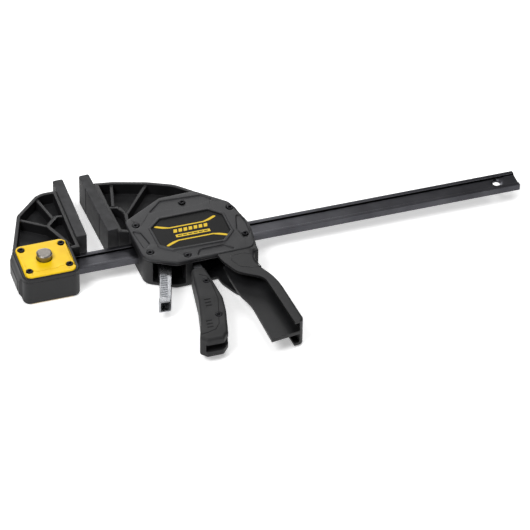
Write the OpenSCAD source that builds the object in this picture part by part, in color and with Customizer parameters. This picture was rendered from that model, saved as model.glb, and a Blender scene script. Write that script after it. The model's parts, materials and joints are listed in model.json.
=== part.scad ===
// One-handed trigger bar clamp, lying flat on its side.
// X runs along the bar, Y is the reach of the jaws, Z is up through the thickness.
// The origin is the centre of the fixed pad's clamping face.

/* [Bar] */
// Length of the steel bar
bar_length = 483; // [300:5:900]
// Width of the bar, across the clamp
bar_width = 22; // [18:0.5:28]
// Thickness of the bar over its edge beads
bar_thick = 6.4; // [5:0.1:8]
// Thickness of the rolled web between the beads
bar_web = 3.6; // [2.4:0.1:4.6]
// Width of each edge bead
bar_bead = 4.2; // [3:0.1:6]
// Diameter of the lock hole near each end
bar_hole_d = 7; // [6:0.1:9]
// Distance of a lock hole from the bar's end
bar_hole_inset = 20; // [16:1:30]

/* [Jaws] */
// Length of each pad, along the reach
pad_length = 86; // [70:1:110]
// Thickness of each pad, along the bar
pad_thick = 10; // [8:0.5:14]
// Height of each pad, through the clamp's thickness
pad_height = 32; // [24:1:38]
// Distance from the bar's centreline to the near end of the pads
pad_reach = 20; // [18:1:34]
// Opening between the pads at their near ends
jaw_gap = 20; // [10:1:60]
// Angle by which the moving pad leans in at its tip
toe_in = 3; // [0:0.5:5]
// Depth and width of the two grooves across each pad
pad_groove = 1; // [0.5:0.1:2]
// Thickness of the jaw arms over their rims
arm_height = 28; // [22:1:30]
// Width of the rims and of the main ribs
rim = 3.5; // [2.5:0.1:5]
// Thickness of the web in the arms and the handle
web = 4; // [3:0.1:6]

/* [Fixed jaw] */
// Length of the fixed jaw's head, along the bar
head_length = 54; // [48:1:70]
// Width of the fixed jaw's head
head_width = 48; // [46:1:60]
// Thickness of the head's two steel plates
plate_thick = 3; // [2:0.1:3.4]
// Diameter of the quick-change button
button_d = 14; // [11:0.5:17]
// Height of the button above its plate
button_proud = 6; // [5:0.5:12]

/* [Body] */
// Thickness of the body's two covers
cover_thick = 4; // [3.4:0.1:6]
// Wall between the trigger's mouth and each cover
mouth_wall = 0.5; // [0.4:0.1:4]
// Diameter of the cover screws
screw_d = 3; // [2.5:0.1:4]
// Diameter of the screw heads
screw_head_d = 6.4; // [5:0.1:6.8]

/* [Trigger] */
// Thickness of the trigger's moulding, which sets the body's thickness
trigger_thick = 22; // [18:0.5:30]
// Thickness of each steel trigger plate
lever_plate = 3; // [2:0.1:3.5]
// Diameter of the trigger's pivot pin
pivot_d = 6; // [5:0.1:7.2]
// Thickness of the soft skins on the trigger and the handle
skin = 1.6; // [1:0.1:2]

/* [Clutch and release] */
// Thickness of one clutch plate
clutch_plate = 2.5; // [2:0.1:2.8]
// Angle by which the brake plates lean when they grip
brake_lean = 6; // [3:0.5:7]
// Diameter of the brake plates' pin
brake_pin_d = 4; // [3:0.1:5]
// Wall of the pressed release lever
release_wall = 1.6; // [1.2:0.1:2]
// Width of the release lever, through the clamp's thickness
release_width = 13; // [11:0.5:15]

/* [Fits] */
// Radial clearance of a running pin
run_fit = 0.05; // [0.02:0.01:0.1]
// Gap between the bar and what slides on it
slide_fit = 0.3; // [0.3:0.05:0.4]
// Gap between moving pieces that don't touch
free_gap = 0.5; // [0.3:0.1:0.6]

/* [Hidden] */
$fn = 48;
eps = 0.01;

pad_middle = pad_reach + pad_length / 2;
opening_half = trigger_thick / 2 + free_gap;
deck = opening_half + mouth_wall;
half = deck + cover_thick;
head_deck = half - plate_thick;
arm_top = pad_reach + 0.855 * pad_length;

// Bar and lock, measured from the bar's centreline
bar_start = -66;
lock_x = bar_start + bar_hole_inset;
sink_d = bar_hole_d + 6;
sink_deep = 0.8;

// Fixed jaw's head
head_right = -18;
head_left = head_right - head_length;
head_low = 1 - (head_width / 2 + 2);
head_high = head_low + head_width;
plate_lip = [3, 1];
plate_seat = 1.5;
plate_screw_sink = 1.2;
base_screw_sink = 2.2;
end_swell = 2.8;
end_panel = 0.7;
yoke_thick = 2.5;
yoke_half = bar_width / 2 + 1.5;
yoke_wing = yoke_half + 7;
yoke_long = 12;
yoke_top = head_deck - free_gap;
yoke_foot = -bar_thick / 2 - 2.6;
ledge_z = yoke_top - yoke_thick - 9;
lock_clearance = 0.05;

// Keys that hold the pads on the jaws
pad_key = 3;
pad_key_half = 24;

// Body
case_path = [[39, 28, 9], [79, 53, 5], [113, 54, 7], [141, 30, 10], [150.5, -5, 14],
    [146.5, -39.5, 9], [68, -41.5, 9], [41.5, -27, 11]];
cover_path = [[38.5, 29.5, 9], [79, 54, 6], [114, 55, 8], [140.5, 30.5, 10], [149.5, -5, 14],
    [145, -38.5, 9], [69, -41, 10], [41, -26.5, 12]];
cover_spots = [[47, 21], [49, -20], [81, -33.5], [141, -18], [139, 22], [98, 42]];
head_spots = [for (x = [head_left + 8, head_right - 8], y = [head_low + 10, head_high - 7]) [x, y]];
plate_path = [for (q = box_path(head_left, head_low, head_right, head_high, 6))
    [q[0] + (q[0] < lock_x ? 1 : -1) * plate_lip[0], q[1] + (q[1] < 0 ? 1 : -1) * plate_lip[1], q[2]]];
head_room = screw_head_d + 0.6;
base_inset = 2.5;
badge_path = [[59.5, 12.5, 2], [71, 23.5, 2], [118, 24, 2], [128.5, 14, 2], [129, -11, 2],
    [119, -22, 2], [71, -21, 2], [61, -13, 2]];
badge_rim = 2.6;
badge_raise = 0.8;
badge_thick = 0.6;
badge_sink = 1.8;
panel_sink = 1;
panels = [
    [[64, 35, 1], [79, 49, 3], [118, 47, 3], [127, 38, 2], [111, 34, 2]],
    [[42, 14, 1], [48, 10, 2], [52, -8, 2], [46, -14, 1]],
    [[90, -36.5, 1], [95, -28, 2], [117, -28, 2], [126, -36.5, 1]],
    [[136, -10, 2], [139, -27, 2], [145.5, -19, 2], [146, 4, 2], [142, 13, 2]]];
cavity = [[53, -18], [48.5, -29.5], [130, -29.5], [130, 34], [53, 34]];
mouth_back = -29;
spring_stop_x = 77;
release_opening = [48.5, 77];
trigger_opening = [83.5, 118];
guide_half_y = bar_width / 2 + 2.5;
guide_low = bar_thick / 2 + 5.8;
front_guide_x = [41, 50];
rear_guide_x = [134, 147];
screw_deep = 9;
screw_head = 2.2;
top_seat = half - badge_raise - 2;

// Handle
handle_back = [[156, -149, 0], [151.5, -93, 60], [148, -80, 50], [140.5, -65, 30], [139, -54, 18],
    [143.5, -38, 0]];
handle_web_edge = [[112, -36, 0], [113, -60, 60], [115, -83, 40], [121, -100, 50], [124, -153, 0]];
handle_rim_edge = [[107, -36, 0], [109, -49, 20], [118, -68, 20], [139.5, -82, 14], [146.5, -150, 0]];
handle_rim = 3;
handle_half = opening_half + handle_rim;
handle_wall = 4;

// Trigger
pivot = [88, 24];
trigger_path = [[80, -48, 3], [76.5, -72, 20], [74, -90, 20], [67.5, -119, 30], [60, -141, 3],
    [65.5, -147, 3], [81, -147, 3], [87, -140, 3], [94, -111, 30], [96.5, -93, 20], [94.5, -68, 20],
    [92, -47, 3]];
trigger_sink = 1.6;
trigger_front = 5;
slot_half = bar_thick / 2 + 0.6;
plate_out = slot_half + lever_plate;
skin_region = [[70, -40], [88, -40], [91, -70], [89, -108], [85, -128], [78, -133], [66, -137],
    [50, -140]];
trigger_spots = [[88.4, -68], [85.5, -116]];
nose = [90, 0];
nose_r = 6.6;

// Clutch and brake
clutch_x = nose[0] + nose_r + 0.4;
clutch_count = 3;
stack_gap = 0.1;
clutch_pitch = clutch_plate + stack_gap;
clutch_end = clutch_x + clutch_count * clutch_pitch;
clutch_half_y = bar_width / 2 + 6;
clutch_half_z = deck - 1.5;
clutch_coil = 2.3;
clutch_wire = 0.9;
clutch_spring_y = bar_width / 2 + 4;
brake_pivot = [66, bar_width / 2 + 7];
brake_plate = 3;
brake_high = 4;
brake_half_z = deck - 1;
brake_tail = 4.2;
brake_spring_x = 66.6;
release_path = [[55.5, -18, 1], [52.5, -38, 20], [43.5, -70, 10], [39.5, -80, 1], [51, -81, 2],
    [53, -75, 8], [64.5, -38, 20], [69, -18, 1]];
rivet_d = 3;
rivet_y = -27;
rivet_at = [brake_pivot[0] - (brake_pivot[1] - rivet_y) * tan(brake_lean), rivet_y];

function unit(v) = v / norm(v);
function flat(p) = [p[0], p[1]];

// One rounded corner of an outline: b is [x, y, radius], a and c are its neighbours
function corner(a, b, c) =
    let (u = unit(flat(a) - flat(b)), w = unit(flat(c) - flat(b)), open = acos(u * w) / 2,
        r = b[2], middle = flat(b) + unit(u + w) * r / sin(open), reach = r / tan(open),
        s = flat(b) + u * reach - middle, e = flat(b) + w * reach - middle,
        from = atan2(s[1], s[0]), raw = atan2(e[1], e[0]) - from,
        turn = raw > 180 ? raw - 360 : raw < -180 ? raw + 360 : raw,
        steps = max(2, ceil(abs(turn) / 9)))
    r < 0.05 ? [flat(b)]
    : [for (i = [0:steps]) middle + r * [cos(from + turn * i / steps), sin(from + turn * i / steps)]];

function rounded(path) =
    let (n = len(path)) [for (i = [0:n - 1]) each corner(path[(i + n - 1) % n], path[i], path[(i + 1) % n])];

// An open line of [x, y, radius] points with its inner points rounded
function smoothed(line) = let (last = len(line) - 1) [for (i = [0:last])
    each i == 0 || i == last ? [flat(line[i])] : corner(line[i - 1], line[i], line[i + 1])];

// The sum of an outline's turns: positive when it runs anticlockwise
function winding(path) = let (n = len(path), terms = [for (i = [0:n - 1])
    path[i][0] * path[(i + 1) % n][1] - path[(i + 1) % n][0] * path[i][1]]) terms * [for (t = terms) 1];

// An outline of [x, y, radius] points moved inwards by a distance
function inset(path, distance) =
    let (n = len(path), d = distance * sign(winding(path))) [for (i = [0:n - 1])
        let (a = flat(path[(i + n - 1) % n]), b = flat(path[i]), c = flat(path[(i + 1) % n]),
            u = unit(b - a), w = unit(c - b), m = [-u[1], u[0]], k = [-w[1], w[0]],
            p = b + (m + k) * d / (1 + m * k), left = u[0] * w[1] - u[1] * w[0] > 0)
        [p[0], p[1], max(path[i][2] + (left ? -d : d), 0)]];

function box_path(x0, y0, x1, y1, r) = [[x0, y0, r], [x1, y0, r], [x1, y1, r], [x0, y1, r]];

// A point of the moving pad's own leaning frame, as a point of the clamp
function lean(x, y) = [jaw_gap + x * cos(toe_in) - y * sin(toe_in),
    pad_reach + x * sin(toe_in) + y * cos(toe_in)];

// From the bar's centreline to the origin at the pad's face
module seat() {
    translate([0, -pad_middle, 0]) children();
}

module slab(path, z0, z1) {
    translate([0, 0, z0]) linear_extrude(z1 - z0) polygon(rounded(path));
}

module prism(points, z0, z1) {
    translate([0, 0, z0]) linear_extrude(z1 - z0) polygon(points);
}

module block(x0, x1, y0, y1, z0, z1) {
    translate([x0, y0, z0]) cube([x1 - x0, y1 - y0, z1 - z0]);
}

// A straight upright rib between two points
module rib(a, b, wide, half_z) {
    d = b - a;
    translate([a[0], a[1], -half_z]) rotate(atan2(d[1], d[0]))
        translate([0, -wide / 2, 0]) cube([norm(d), wide, 2 * half_z]);
}

module post(at, d, z0, z1) {
    translate([at[0], at[1], z0]) cylinder(d = d, h = z1 - z0);
}

// A round-wire coil along +Z, as a swept tube
module coil(mean_r, wire, long, turns) {
    sides = 8;
    rings = turns * 14;
    ring = function (i) let (a = 360 * turns * i / rings, z = wire / 2 + (long - wire) * i / rings)
        [for (j = [0:sides - 1]) let (t = 360 * j / sides, q = mean_r + wire / 2 * cos(t))
            [q * cos(a), q * sin(a), z + wire / 2 * sin(t)]];
    points = [for (i = [0:rings]) each ring(i)];
    walls = [for (i = [0:rings - 1], j = [0:sides - 1]) let (k = (j + 1) % sides)
        [i * sides + j, (i + 1) * sides + j, (i + 1) * sides + k, i * sides + k]];
    first = [for (j = [0:sides - 1]) j];
    last = [for (j = [0:sides - 1]) rings * sides + sides - 1 - j];
    polyhedron(points = points, faces = concat(walls, [first], [last]), convexity = 10);
}

// The bar's rolled section, with a bead along each edge
module bar_section(extra = 0) {
    w = bar_width / 2 + extra;
    t = bar_thick / 2 + extra;
    polygon(extra > 0 ? [[-w, -t], [w, -t], [w, t], [-w, t]]
        : [for (s = [1, -1]) each [[-s * w, -s * t], [-s * (w - bar_bead), -s * t],
            [-s * (w - bar_bead - 0.8), -s * bar_web / 2], [s * (w - bar_bead - 0.8), -s * bar_web / 2],
            [s * (w - bar_bead), -s * t], [s * w, -s * t]]]);
}

// The room that the bar takes, between two places along it
module bar_run(x0, x1, extra = 0) {
    translate([x0, 0, 0]) rotate([90, 0, 90]) linear_extrude(x1 - x0) bar_section(extra);
}

module bar() {
    color([0.16, 0.16, 0.17]) seat() difference() {
        bar_run(bar_start, bar_start + bar_length);
        for (x = [lock_x, bar_start + bar_length - bar_hole_inset]) {
            post([x, 0], bar_hole_d, -bar_thick, bar_thick);
            for (s = [0, 1]) mirror([0, 0, s]) translate([x, 0, bar_web / 2 - sink_deep])
                cylinder(d1 = bar_hole_d, d2 = sink_d, h = sink_deep + eps);
        }
    }
}

// Web, rim and ribs of a jaw arm; lines holds the ribs as lists of points
module arm(path, lines) {
    slab(path, -web / 2, web / 2);
    difference() {
        slab(path, -arm_height / 2, arm_height / 2);
        slab(inset(path, rim), -half, half);
    }
    intersection() {
        slab(path, -arm_height / 2, arm_height / 2);
        for (line = lines, i = [0:len(line) - 2])
            rib(line[i], line[i + 1], rim - 0.5, arm_height / 2 - 1.5);
    }
}

fixed_arm_path = [[-pad_thick, 8, 0], [-pad_thick, arm_top, 2], [-24, arm_top, 14],
    [-31, arm_top - 3, 6], [-54.5, pad_reach + 0.555 * pad_length, 7], [head_left + 1, head_high - 3, 2],
    [head_left + 4, 8, 0]];
fixed_arm_ribs = [
    [[-pad_thick - 2, 57], [-20, 58], [-30.5, 47], [-21, 22], [-18, 16]],
    [[-23, 56], [-31, 90]],
    [[-30, 46], [-55, 64]]];

module fixed_jaw() {
    top_rim = head_deck + plate_seat;
    color([0.13, 0.13, 0.14]) seat() difference() {
        union() {
            slab(box_path(head_left, head_low, head_right, head_high, 7), -half, top_rim);
            arm(fixed_arm_path, fixed_arm_ribs);
            block(-pad_thick - rim, -pad_thick, 14, arm_top - 2, -arm_height / 2, arm_height / 2);
            block(-pad_thick - eps, -pad_thick + pad_key, pad_middle - pad_key_half,
                pad_middle + pad_key_half, -5, 5);
            head_end(top_rim);
        }
        // plate recesses, and the bar's socket
        slab(plate_path, head_deck, half);
        slab(plate_path, -half - 1, -head_deck);
        block(bar_start, 0, -bar_width / 2, bar_width / 2, -bar_thick / 2, bar_thick / 2);
        lock_room();
        for (p = head_spots) {
            post(p, screw_d, head_deck - screw_deep, half);
            post(p, screw_d, -half, -head_deck + screw_deep);
        }
    }
}

// Swelling of the head's end wall, its sides sloping, with a raised panel on its face
module head_end(top_rim) {
    root = head_left + 2;
    face = head_left - end_swell;
    low = head_low + 5;
    high = head_high - 2;
    intersection() {
        prism([[root, low], [face, low + 5], [face, high - 5], [root, high]], -half, half);
        translate([0, high, 0]) rotate([90, 0, 0]) linear_extrude(high - low)
            polygon([[root, 2 - half], [face, 7 - half], [face, top_rim - 8], [root, top_rim]]);
    }
    block(face - end_panel, face + eps, low + 8, high - 8, 9 - half, top_rim - 10);
}

// The hollow for the yoke, with a ledge under each wing's spring
module lock_room() {
    x0 = lock_x - yoke_long / 2 - free_gap;
    x1 = lock_x + yoke_long / 2 + free_gap;
    wide = yoke_wing + free_gap;
    leg = yoke_half + yoke_thick + free_gap;
    block(x0, x1, -wide, wide, ledge_z, head_deck + eps);
    block(x0, x1, -leg, leg, -head_deck - eps, ledge_z + eps);
    post([lock_x, 0], button_d + 1, ledge_z, head_deck + eps);
}

module head_plate(z0, z1, hole) {
    difference() {
        slab(plate_path, z0, z1);
        post([lock_x, 0], hole, -half - 1, half + 1);
        for (p = head_spots) {
            post(p, screw_d, -half - 1, half + 1);
            post(p, head_room, half - plate_screw_sink, half + 1);
            post(p, head_room, -half - 1, -half + base_screw_sink);
        }
    }
}

module fixed_jaw_plate() {
    color([1, 0.82, 0.05]) seat() head_plate(head_deck, half, button_d + 1);
}

module fixed_jaw_base_plate() {
    color([1, 0.82, 0.05]) seat() head_plate(-half, -head_deck, 6);
}

// A round-headed screw with a hexagon socket, its head's seat at z = 0, pointing down
module socket_screw(deep, head) {
    difference() {
        union() {
            cylinder(d = screw_head_d, h = head);
            translate([0, 0, -deep]) cylinder(d = screw_d, h = deep + eps);
        }
        translate([0, 0, head - 1.2]) cylinder(d = 2.9, h = 2, $fn = 6);
    }
}

module fixed_jaw_plate_screws() {
    color([0.1, 0.1, 0.1]) seat() for (p = head_spots)
        translate([p[0], p[1], half - plate_screw_sink]) socket_screw(screw_deep, 1.6);
}

module fixed_jaw_base_screws() {
    color([0.1, 0.1, 0.1]) seat() mirror([0, 0, 1]) for (p = head_spots)
        translate([p[0], p[1], half - base_screw_sink]) socket_screw(screw_deep - 1, 1.8);
}

module quick_change_button() {
    color([0.75, 0.74, 0.72]) seat() translate([lock_x, 0, yoke_top]) {
        cylinder(d = button_d, h = half + button_proud - yoke_top - 1);
        translate([0, 0, half + button_proud - yoke_top - 1 - eps])
            cylinder(d1 = button_d, d2 = button_d - 1.6, h = 1 + eps);
    }
}

module lock_yoke() {
    x0 = lock_x - yoke_long / 2;
    x1 = lock_x + yoke_long / 2;
    color([0.6, 0.6, 0.62]) seat() difference() {
        union() {
            block(x0, x1, -yoke_wing, yoke_wing, yoke_top - yoke_thick, yoke_top);
            for (s = [0, 1]) mirror([0, s, 0])
                block(x0, x1, yoke_half, yoke_half + yoke_thick, yoke_foot - yoke_thick, yoke_top);
            block(x0, x1, -yoke_half - 1, yoke_half + 1, yoke_foot - yoke_thick, yoke_foot);
        }
        post([lock_x, 0], 4, -half, 0);
    }
}

module lock_pin() {
    color([0.7, 0.7, 0.72]) seat() {
        post([lock_x, 0], bar_hole_d - 2 * lock_clearance, yoke_foot, bar_web / 2 - 1.2);
        post([lock_x, 0], 4, yoke_foot - yoke_thick, yoke_foot + eps);
    }
}

module lock_springs() {
    color([0.65, 0.65, 0.68]) seat() for (s = [1, -1])
        translate([lock_x, s * (yoke_half + yoke_thick + 2.4), ledge_z])
            coil(1.8, 0.6, yoke_top - yoke_thick - ledge_z, 4);
}

// A pad, with its clamping face at x = 0 and its near end at y = 0, lying towards +X
module pad() {
    difference() {
        block(0, pad_thick, 0, pad_length, -pad_height / 2, pad_height / 2);
        for (y = [0.29, 0.76] * pad_length)
            translate([0, y, 0]) rotate(45) cube([pad_groove, pad_groove, pad_height + 2] * sqrt(2),
                center = true);
        block(pad_thick - pad_key - 0.2, pad_thick + 1, pad_length / 2 - pad_key_half - 0.2,
            pad_length / 2 + pad_key_half + 0.2, -5.2, 5.2);
    }
}

module fixed_pad() {
    color([0.3, 0.3, 0.31]) seat() translate([0, pad_reach, 0]) mirror([1, 0, 0]) pad();
}

module moving_pad() {
    color([0.3, 0.3, 0.31]) seat() translate([jaw_gap, pad_reach, 0]) rotate(toe_in) pad();
}

moving_arm_end = lean(pad_thick, 0.855 * pad_length);
moving_arm_path = [[lean(pad_thick, -2)[0], lean(pad_thick, -2)[1], 1], [46, 12, 0], [100, 20, 0],
    [118, 52, 4], [99, arm_top - 23, 30], [75, arm_top - 12, 30], [44, arm_top - 2.5, 12],
    [moving_arm_end[0], moving_arm_end[1], 2]];
moving_arm_ribs = [
    [lean(pad_thick, 37), [40, 54], [44, 45], [41, 26]],
    [[35, 55], [43, arm_top - 3]],
    [[42, 48], [44, 42], [74, arm_top - 14]]];

module jaw_body() {
    color([0.13, 0.13, 0.14]) seat() difference() {
        union() {
            slab(case_path, -half, deck);
            difference() {
                union() {
                    arm(moving_arm_path, moving_arm_ribs);
                    handle_shell();
                }
                slab(inset(case_path, 1), -half, half);
                slab(cover_path, deck, half);
            }
            translate([jaw_gap, pad_reach, 0]) rotate(toe_in) {
                block(pad_thick, pad_thick + rim, -2, 0.84 * pad_length, -arm_height / 2, arm_height / 2);
                block(pad_thick - pad_key, pad_thick + eps, pad_length / 2 - pad_key_half,
                    pad_length / 2 + pad_key_half, -5, 5);
            }
        }
        difference() {
            prism(cavity, -deck - eps, half);
            block(spring_stop_x, spring_stop_x + 2.5, mouth_back - 2, -14, -4.5, 4.5);
        }
        slab(inset(case_path, base_inset), -half - 1, -deck);
        // mouths for the release lever and the trigger
        block(release_opening[0], release_opening[1], -60, mouth_back, -opening_half, opening_half);
        block(trigger_opening[0], trigger_opening[1], -43, mouth_back, -opening_half, opening_half);
        for (s = [0, 1]) mirror([0, 0, s])
            prism([[trigger_opening[0], -43], [trigger_opening[0], -60], [110, -60], [112, -48],
                [trigger_opening[1], -43]], web / 2 + 2, opening_half);
        guide_seat(front_guide_x);
        guide_seat(rear_guide_x);
        block(30, 160, -bar_width / 2 - 1, bar_width / 2 + 1, -bar_thick / 2 - 1, bar_thick / 2 + 1);
        for (p = cover_spots) {
            post(p, screw_d, deck - screw_deep, half);
            post(p, screw_d, -half, -deck + screw_deep);
            post(p, head_room, -half - 1, screw_head - half);
        }
        handle_skin_room();
    }
}

// Handle: a C-shaped shell round the palm, and a web in its middle plane
module handle_outline(edge) {
    polygon(concat(smoothed(edge), smoothed(handle_back)));
}

module handle_shell() {
    back = smoothed(handle_back);
    linear_extrude(web, center = true) handle_outline(handle_web_edge);
    for (s = [0, 1]) mirror([0, 0, s]) translate([0, 0, opening_half])
        linear_extrude(handle_rim) handle_outline(handle_rim_edge);
    prism(concat(back, [for (i = [len(back) - 1:-1:0]) back[i] - [handle_wall, 0]]),
        -handle_half, handle_half);
    block(122, 146, -44, -36, -handle_half, handle_half);
}

// The band of the palm that the soft grip fills
module handle_skin_room() {
    line = smoothed([for (i = [0:3]) handle_back[i] + (i == 0 ? [-0.8, 10, 0] : [0, 0, 0])]);
    prism(concat([for (p = line) p + [1, 0]], [for (i = [len(line) - 1:-1:0]) line[i] - [skin, 0]]),
        -opening_half, opening_half);
}

module handle_grip() {
    color([0.2, 0.2, 0.21]) seat() intersection() {
        handle_skin_room();
        translate([0, 0, -handle_half]) linear_extrude(2 * handle_half)
            handle_outline(handle_web_edge);
    }
}

// The room of one bar guide, open at the top of the body
module guide_seat(xs) {
    block(xs[0], xs[1], -guide_half_y, guide_half_y, -guide_low, half);
}

module guide(xs) {
    difference() {
        block(xs[0], xs[1], -guide_half_y, guide_half_y, -guide_low, deck);
        bar_run(xs[0] - 1, xs[1] + 1, slide_fit);
    }
}

module front_guide() {
    color([0.85, 0.85, 0.8]) seat() guide(front_guide_x);
}

module rear_guide() {
    color([0.85, 0.85, 0.8]) seat() guide(rear_guide_x);
}

module pin_seats() {
    post(pivot, pivot_d, -deck - 2, deck + 2);
    post(brake_pivot, brake_pin_d, -deck - 2, deck + 2);
}

// Screw holes and the badge's recess, for a cover whose screws seat at a height
module cover_cuts(seat_z) {
    for (p = cover_spots) {
        post(p, screw_d, deck - 1, half + 1);
        post(p, head_room, seat_z, half + 1);
    }
    slab(badge_path, half - badge_sink, half + 1);
}

module top_cover() {
    color([0.17, 0.17, 0.18]) seat() difference() {
        union() {
            slab(cover_path, deck, half - badge_raise);
            slab(inset(badge_path, -badge_rim), deck, half);
        }
        cover_cuts(top_seat);
        for (p = panels) slab(p, half - badge_raise - panel_sink, half + 1);
        pin_seats();
    }
}

module bottom_cover() {
    color([0.17, 0.17, 0.18]) seat() difference() {
        slab(inset(case_path, base_inset + 0.2), -half, -deck);
        mirror([0, 0, 1]) cover_cuts(half - screw_head);
        pin_seats();
    }
}

module top_cover_screws() {
    color([0.1, 0.1, 0.1]) seat() for (p = cover_spots)
        translate([p[0], p[1], top_seat]) socket_screw(top_seat - deck + 7, 2.1);
}

module bottom_cover_screws() {
    color([0.1, 0.1, 0.1]) seat() mirror([0, 0, 1]) for (p = cover_spots)
        translate([p[0], p[1], half - screw_head]) socket_screw(screw_deep, 1.9);
}

module badge() {
    slab(inset(badge_path, 0.2), half - badge_sink, half - badge_sink + badge_thick);
}

module top_badge() {
    color([0.06, 0.06, 0.06]) seat() badge();
}

module bottom_badge() {
    color([0.06, 0.06, 0.06]) seat() mirror([0, 0, 1]) badge();
}

// Trigger moulding: a channel, open towards the handle
module trigger_blank() {
    slab(trigger_path, -trigger_thick / 2, trigger_thick / 2);
}

module trigger_skin_room() {
    intersection() {
        difference() {
            trigger_blank();
            slab(inset(trigger_path, skin), -trigger_thick / 2 + skin, trigger_thick / 2 - skin);
        }
        prism(skin_region, -half, half);
    }
}

// The two arms of the trigger plates, seen from above
module trigger_arm_room(z0, z1) {
    prism([[81, 24], [79.5, 10], [82, -8], [84.2, -30], [84.2, -46], [80.5, -80], [76, -118],
        [79, -124], [88.5, -122], [93, -96], [92.5, -70], [92, -46], [91, -20], [89.8, -6.6],
        [95, 24]], z0, z1);
}

module trigger_grip() {
    front = inset(trigger_path, trigger_front);
    color([0.15, 0.15, 0.16]) seat() difference() {
        trigger_blank();
        // the slot, open on the handle's side and at the end
        intersection() {
            slab(concat([for (i = [0:4]) front[i]], [[62, -160, 0], [120, -160, 0], [120, -30, 0],
                [front[0][0], -30, 0]]), -slot_half, slot_half);
            block(40, 130, -160, -30, -half, half);
        }
        trigger_arm_room(slot_half - eps, plate_out);
        trigger_arm_room(-plate_out, -slot_half + eps);
        trigger_skin_room();
        for (p = trigger_spots) {
            post(p, screw_d, -half, half);
            post(p, screw_head_d + 0.4, trigger_thick / 2 - trigger_sink, half);
            post(p, screw_head_d + 0.4, -half, -trigger_thick / 2 + trigger_sink);
        }
    }
}

module trigger_skin() {
    color([0.2, 0.2, 0.21]) seat() difference() {
        trigger_skin_room();
        for (s = [0, 1]) mirror([0, 0, s]) trigger_arm_room(slot_half - eps, plate_out);
        for (p = trigger_spots) post(p, screw_head_d + 0.4, -half, half);
    }
}

module trigger_plates() {
    color([0.62, 0.62, 0.64]) seat() for (s = [0, 1]) mirror([0, 0, s]) difference() {
        union() {
            trigger_arm_room(slot_half, plate_out);
            post(pivot, pivot_d + 11, slot_half, plate_out);
            post(nose, 2 * nose_r, slot_half, plate_out);
        }
        post(pivot, pivot_d + 2 * run_fit, -half, half);
        for (p = trigger_spots) post(p, screw_d, -half, half);
    }
}

module trigger_screws() {
    color([0.1, 0.1, 0.1]) seat() for (s = [0, 1], p = trigger_spots) mirror([0, 0, s])
        translate([p[0], p[1], trigger_thick / 2 - trigger_sink])
            socket_screw(trigger_thick / 2 - trigger_sink - slot_half, trigger_sink - 0.1);
}

module trigger_pivot_pin() {
    color([0.7, 0.7, 0.72]) seat() post(pivot, pivot_d, -deck - 2, deck + 2);
}

module clutch_plates() {
    color([0.5, 0.5, 0.52]) seat() difference() {
        for (i = [0:clutch_count - 1])
            block(clutch_x + i * clutch_pitch, clutch_x + i * clutch_pitch + clutch_plate,
                -clutch_half_y, clutch_half_y, -clutch_half_z, clutch_half_z);
        bar_run(clutch_x - 1, clutch_end + 1, slide_fit);
    }
}

module clutch_springs() {
    color([0.65, 0.65, 0.68]) seat() for (s = [1, -1])
        translate([clutch_end, s * clutch_spring_y, 0]) rotate([0, 90, 0])
            coil(clutch_coil, clutch_wire, cavity[2][0] - clutch_end, 7);
}

// The stack of brake plates, leaning about its pin
module brake_plates() {
    room_y = bar_width / 2 / cos(brake_lean) + brake_plate * tan(brake_lean) + slide_fit + 0.1;
    drop = brake_pivot[1];
    color([0.5, 0.5, 0.52]) seat() difference() {
        translate([brake_pivot[0], brake_pivot[1], 0]) rotate(-brake_lean) difference() {
            for (x = [-brake_plate, stack_gap]) {
                block(x, x + brake_plate - stack_gap, -drop - bar_width / 2 - 3.5, brake_high,
                    -brake_half_z, brake_half_z);
                block(x, x + brake_plate - stack_gap, -drop - bar_width / 2 - 20, -drop,
                    -brake_tail, brake_tail);
            }
            block(-10, 10, -drop - room_y, -drop + room_y, -bar_thick / 2 - 0.4, bar_thick / 2 + 0.4);
            post([0, 0], brake_pin_d + 2 * run_fit, -half, half);
        }
        post(rivet_at, rivet_d, -half, half);
    }
}

module brake_pivot_pin() {
    color([0.7, 0.7, 0.72]) seat() post(brake_pivot, brake_pin_d, -deck - 2, deck + 2);
}

module brake_spring() {
    color([0.65, 0.65, 0.68]) seat() translate([brake_spring_x, -17.5, 0]) rotate([0, 90, 0])
        coil(3, 0.7, spring_stop_x - brake_spring_x, 4);
}

module release_lever() {
    inside = release_width / 2 - release_wall;
    color([0.8, 0.8, 0.82]) seat() difference() {
        slab(release_path, -release_width / 2, release_width / 2);
        slab([for (i = [0:3]) inset(release_path, release_wall)[i], [40, -100, 0], [90, -100, 0],
            [90, 0, 0], [58, 0, 0]], -inside, inside);
        post(rivet_at, rivet_d, -half, half);
    }
}

module release_rivet() {
    color([0.7, 0.7, 0.72]) seat() {
        post(rivet_at, rivet_d, -release_width / 2, release_width / 2);
        for (s = [0, 1]) mirror([0, 0, s])
            post(rivet_at, rivet_d + 2.4, release_width / 2, release_width / 2 + 1);
    }
}

bar();
fixed_jaw();
fixed_jaw_plate();
fixed_jaw_base_plate();
fixed_jaw_plate_screws();
fixed_jaw_base_screws();
quick_change_button();
lock_yoke();
lock_pin();
lock_springs();
fixed_pad();
jaw_body();
moving_pad();
top_cover();
bottom_cover();
top_cover_screws();
bottom_cover_screws();
top_badge();
bottom_badge();
front_guide();
rear_guide();
handle_grip();
trigger_grip();
trigger_skin();
trigger_plates();
trigger_screws();
trigger_pivot_pin();
clutch_plates();
clutch_springs();
brake_plates();
brake_pivot_pin();
brake_spring();
release_lever();
release_rivet();
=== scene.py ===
import json
import math
import bmesh
import bpy
from mathutils import Matrix, Vector

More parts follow.
